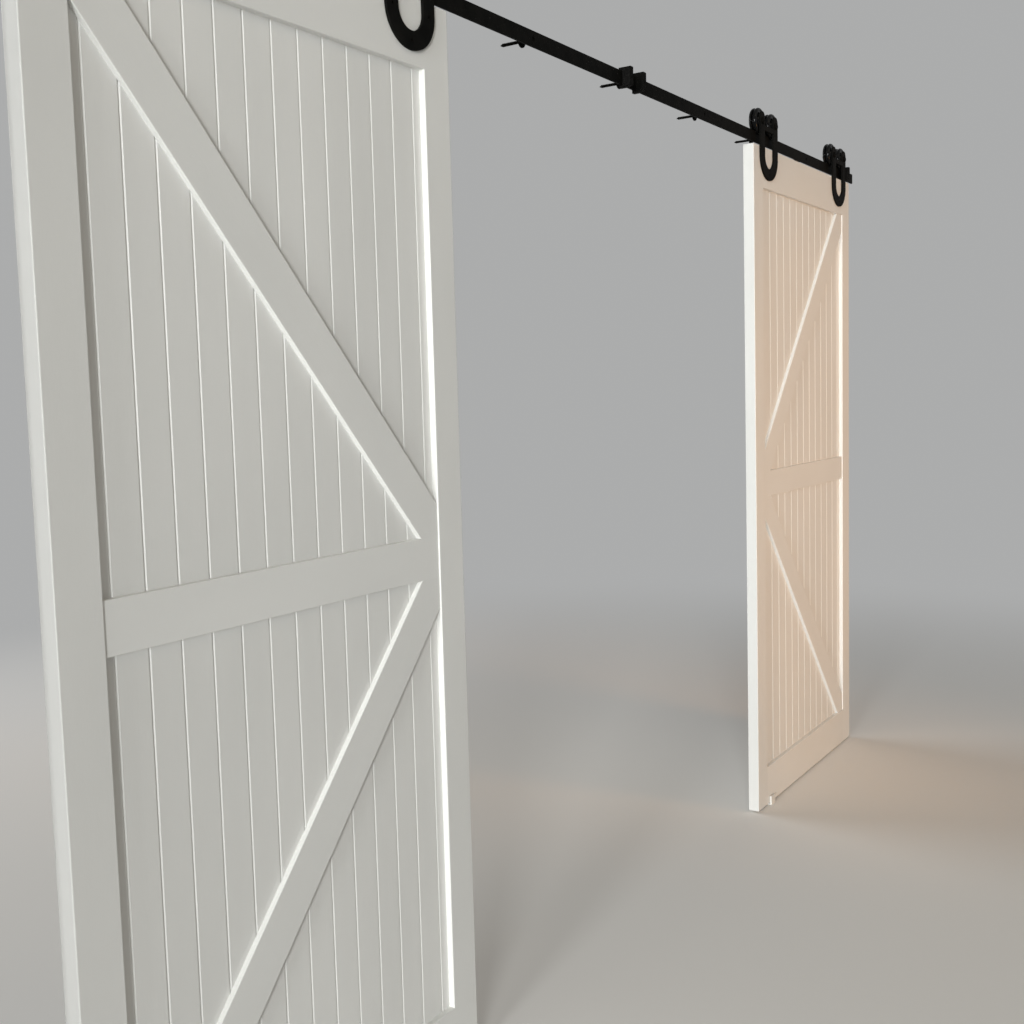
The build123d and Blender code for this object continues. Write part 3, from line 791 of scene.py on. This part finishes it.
# %% [markdown]
# ### Set screws
#
# A small set screw in the nose of each stop presses on the rail. It has no head: a hexagon socket
# is sunk in its threaded shank, and its far end has a cup that bites into the steel.

# %% Set screws
set_low, set_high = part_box("stop_set_screws")
set_socket, set_socket_rim = ("hexagon", 1.5 * mm), ("hexagon", 1.75 * mm)
set_thread = {"radius": 3.0 * mm, "pitch": 1.0 * mm, "depth": 0.5 * mm, "per_turn": 6}
set_rows = [
    *rows_from(set_low.y, [
        (3.0, 0.9), (2.9, recess_open, set_socket), (0.3, recess_open, set_socket),
        (0.02, recess_open, set_socket_rim), (0, 2.2), (0.02, 2.45), (0.5, 2.95),
    ]),
    *thread_rows(set_low.y + 0.6 * mm, set_high.y - 1.0 * mm, **set_thread),
    *rows_from(set_high.y, [(-0.5, 2.4), (0, 1.9), (0, 1.5), (-0.6, 0.6)]),
]
set_spots = on_plane(places_of("stop_set_screws"), 0)
add_turned(
    "set_screws", turned_mesh(set_rows, set_spots, columns=24),
    "fixed_track", "black_fastener", "stop_set_screws",
)

# %% [markdown]
# ### Floor screws
#
# Two countersunk wood screws hold each floor guide, and stand out under it where the floor would
# take them. Their cross recess narrows downwards, so its foot is a smaller cross. They point down,
# so their rows are carried round an axis that points down too.

# %% Floor screws
guide_floor = 3.0 * mm
cross, cross_foot = ("cross", 2.0 * mm, 0.42 * mm), ("cross", 1.1 * mm, 0.32 * mm)
guide_thread = {"radius": 2.0 * mm, "pitch": 1.6 * mm, "depth": 0.55 * mm}
guide_spots = places_of("floor_guide_screws")
guide_spots[:, 2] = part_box("left_floor_guide")[0].z + guide_floor
guide_screw_rows = [
    *rows_from(0, [
        (1.7, recess_open, cross_foot), (1.5, recess_open, cross_foot),
        (0.08, recess_open, cross), (0.05, 2.6), (0.05, 3.7), (0.14, 3.85),
        (2.45, 1.47), (3.0, 1.45),
    ]),
    *thread_rows(3.2 * mm, 20.9 * mm, **guide_thread),
    *rows_from(0, [(22.5, 1.3), (24.2, 0.6), (24.95, 0.12)]),
]
add_turned(
    "floor_screws", turned_mesh(guide_screw_rows, guide_spots, axis=(0, 0, -1), columns=32),
    "fixed_track", "zinc_screw", "floor_guide_screws",
)

# %% [markdown]
# ### Wheels
#
# Each wheel is moulded in one piece: a deep groove that runs on the rail, two flanges with round
# shoulders, and a dished web round the bearing. Its two faces are alike, so one is drawn and
# mirrored, in the real sizes, and every corner gets the radius that a mould would leave.

# %% Wheels
tread_radius, tread_half, mouth_half = 32.0 * mm, 3.4 * mm, 4.2 * mm
web_sink, hub_rim, hub_foot = 3.0 * mm, 18.6 * mm, 20.6 * mm
flange_foot, flange_rim = 9.4 * mm, 7.6 * mm
wheel_bore, bearing_seat, seat_end = 12.0 * mm, 15.02 * mm, -4.5 * mm


def wheel_section(half, flange):
    """Corners of a wheel's half section, each (distance, radius, corner radius)."""
    web = half - web_sink
    face = [
        (half, hub_rim, 1.0 * mm), (web, hub_foot, 1.0 * mm),
        (web, flange - flange_foot, 1.0 * mm), (half, flange - flange_rim, 0.55 * mm),
        (half, flange, 6.9 * mm), (mouth_half, flange, 1.1 * mm),
        (tread_half, tread_radius, 0.5 * mm),
    ]
    mirrored = [(-distance, radius, ease) for distance, radius, ease in face]
    seat = [
        (half, bearing_seat, 0.5 * mm), (seat_end, bearing_seat, 0),
        (seat_end, wheel_bore, 0.4 * mm),
    ]
    return np.array([(-half, wheel_bore, 0.5 * mm), *mirrored, *face[::-1], *seat])


for side in ("left", "right"):
    for number in range(1, 5):
        node = f"{side}_wheel_{number}"
        low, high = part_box(node)
        section = wheel_section((high.y - low.y) / 2, (high.z - low.z) / 2)
        rows = rounded(section[:, :2], section[:, 2], 7)
        add_turned(
            f"{side}_rolling_wheel_{number}",
            turned_mesh(rows, [(low + high) / 2], columns=96, closed=True),
            f"{side}_wheel_unit_{number}", "black_wheel", node,
        )

# %% [markdown]
# ### Bearings
#
# A ball bearing is pressed into each wheel. From outside it shows two bright rings with a pressed
# shield between them, so its section has the rings' rounded corners, the step down to the shield
# and the shield's shallow groove. The balls are sealed in, so they aren't made.

# %% Bearings
bearing_bore, ring_face = 5.05 * mm, 2.75 * mm
shield_sink, groove_sink = 0.5 * mm, 0.85 * mm


def bearing_section(half, outer):
    """Corners of a bearing's half section, each (distance, radius, corner radius)."""
    face = [
        (-half, bearing_bore, 0.35 * mm), (-half, bearing_bore + ring_face, 0.2 * mm),
        (-half + 0.9 * mm, bearing_bore + 2.85 * mm, 0.08 * mm),
        (-half + 0.55 * mm, bearing_bore + 3.1 * mm, 0.1 * mm),
        (-half + shield_sink, outer - 4.4 * mm, 0.2 * mm),
        (-half + groove_sink, outer - 4.0 * mm, 0.3 * mm),
        (-half + shield_sink, outer - 3.1 * mm, 0.15 * mm),
        (-half, outer - ring_face, 0.2 * mm), (-half, outer, 0.6 * mm),
    ]
    mirrored = [(-distance, radius, ease) for distance, radius, ease in face[::-1]]
    return np.array(face + mirrored)


for side in ("left", "right"):
    for number in range(1, 5):
        node = f"{side}_bearing_{number}"
        low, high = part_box(node)
        section = bearing_section((high.y - low.y) / 2, (high.z - low.z) / 2)
        rows = rounded(section[:, :2], section[:, 2], 4)
        add_turned(
            f"{side}_ball_bearing_{number}",
            turned_mesh(rows, [(low + high) / 2], columns=72, closed=True),
            f"{side}_wheel_unit_{number}", "bearing_steel", node,
        )

# %% [markdown]
# ### Axle bolts
#
# Each wheel turns on a bolt with a low domed head and a hexagon socket, whose end is threaded for
# the nut. The dome is a quarter of an ellipse, which a few rows follow with a sine and a cosine.

# %% Axle bolts
axle_socket, axle_socket_rim = ("hexagon", 3.0 * mm), ("hexagon", 3.3 * mm)
axle_thread = {"radius": 5.0 * mm, "pitch": 1.5 * mm, "depth": 0.8 * mm}
dome_rise, dome_flat, dome_swell = 2.9, 6.4, 4.1
dome = [
    (dome_rise * (1 - cos(share)), dome_flat + dome_swell * sin(share))
    for share in np.linspace(0, pi / 2, 9)
]
spots_of_side = {}
for side in ("left", "right"):
    spots_of_side[side] = on_plane(places_of(f"{side}_axle_bolts"), 0)
    low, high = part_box(f"{side}_axle_bolts")
    nut_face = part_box(f"{side}_axle_nuts")[0].y
    bolt_rows = [
        *rows_from(low.y, [
            (3.0, 2.0), (2.9, recess_open, axle_socket), (0.35, recess_open, axle_socket),
            (0.02, recess_open, axle_socket_rim), (0, 4.6), *dome, (4.6, 10.5), (4.95, 10.25),
            (5.0, 10.0), (5.0, 5.2), (5.3, 5.0),
        ]),
        *rows_from(nut_face, [(-3.2, 5.0)]),
        *thread_rows(nut_face - 3.0 * mm, high.y - 1.0 * mm, **axle_thread),
        *rows_from(high.y, [(-0.05, 4.2), (0, 4.0)]),
    ]
    add_turned(
        f"{side}_axle_bolt_set", turned_mesh(bolt_rows, spots_of_side[side], columns=48),
        f"{side}_leaf", "black_fastener", f"{side}_axle_bolts",
    )

# %% [markdown]
# ### Axle nuts
#
# A turned chamfer takes a nut's corners off in curves, because the cone cuts each flat along a
# hyperbola. Cutting a prism with a cone would do it, but limiting a cone by the hexagon gives
# those curves by itself.

# %% Axle nuts
nut_flats = 8.0 * mm
nut_corner = nut_flats / cos(pi / 6)
nut_shape = ("hexagon", nut_flats)
nut_bore, nut_bore_rim, bore_ease = 4.55 * mm, 5.4 * mm, 0.9 * mm
chamfer_start, chamfer_end, cone_slope = 0.97, 1.001, 0.5
cone = np.linspace(nut_flats * chamfer_start, nut_corner * chamfer_end, 6)
rise = (cone - cone[0]) * cone_slope
for side in ("left", "right"):
    low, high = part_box(f"{side}_axle_nuts")
    nut_rows = [
        (low.y + bore_ease, nut_bore),
        (low.y, nut_bore_rim),
        *[(low.y + up, reach, nut_shape) for up, reach in zip(rise, cone)],
        *[(high.y - up, reach, nut_shape) for up, reach in zip(rise[::-1], cone[::-1])],
        (high.y, nut_bore_rim),
        (high.y - bore_ease, nut_bore),
    ]
    add_turned(
        f"{side}_axle_nut_set",
        turned_mesh(nut_rows, spots_of_side[side], columns=72, closed=True),
        f"{side}_leaf", "zinc_screw", f"{side}_axle_nuts",
    )

# %% [markdown]
# ### Axle washers
#
# A washer is punched from sheet and tumbled, which rounds its rims. A flat ring would look like
# paper from close by. So it has eased corners, wider ones outside than at the bore.

# %% Axle washers
washer_bore, washer_rim = 5.05 * mm, 10 * mm
for side in ("left", "right"):
    low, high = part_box(f"{side}_axle_washers")
    washer_rows = rounded(
        [
            (low.y, washer_bore), (low.y, washer_rim),
            (high.y, washer_rim), (high.y, washer_bore),
        ],
        [0.1 * mm, 0.45 * mm, 0.45 * mm, 0.1 * mm],
    )
    add_turned(
        f"{side}_axle_washer_set",
        turned_mesh(washer_rows, spots_of_side[side], columns=64, closed=True),
        f"{side}_leaf", "zinc_screw", f"{side}_axle_washers",
    )

# %% [markdown]
# ### Hanger screws
#
# Three countersunk wood screws fix each hanger's strap to its leaf. They are drawn as the lag
# bolts are, only smaller: socket, cone, thin neck, coarse thread and point.

# %% Hanger screws
hanger_socket, hanger_socket_rim = ("hexagon", 2.5 * mm), ("hexagon", 2.8 * mm)
hanger_thread = {"radius": 3.0 * mm, "pitch": 2.6 * mm, "depth": 0.8 * mm}
for side in ("left", "right"):
    strap_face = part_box(f"{side}_inner_hanger")[0].y
    screw_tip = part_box(f"{side}_hanger_screws")[1].y
    screw_spots = on_plane(places_of(f"{side}_hanger_screws"), 0)
    screw_rows = [
        *rows_from(strap_face, [
            (2.6, 1.8), (2.5, recess_open, hanger_socket), (0.4, recess_open, hanger_socket),
            (0.07, recess_open, hanger_socket_rim), (0.05, 3.9), (0.06, 6.15), (0.2, 6.28),
            (4.05, 2.36), (6.0, 2.32),
        ]),
        *thread_rows(strap_face + 6.3 * mm, screw_tip - 4.0 * mm, **hanger_thread),
        *rows_from(screw_tip, [(-2.0, 1.5), (-0.1, 0.2)]),
    ]
    add_turned(
        f"{side}_hanger_screw_set", turned_mesh(screw_rows, screw_spots, columns=24),
        f"{side}_leaf", "black_fastener", f"{side}_hanger_screws",
    )
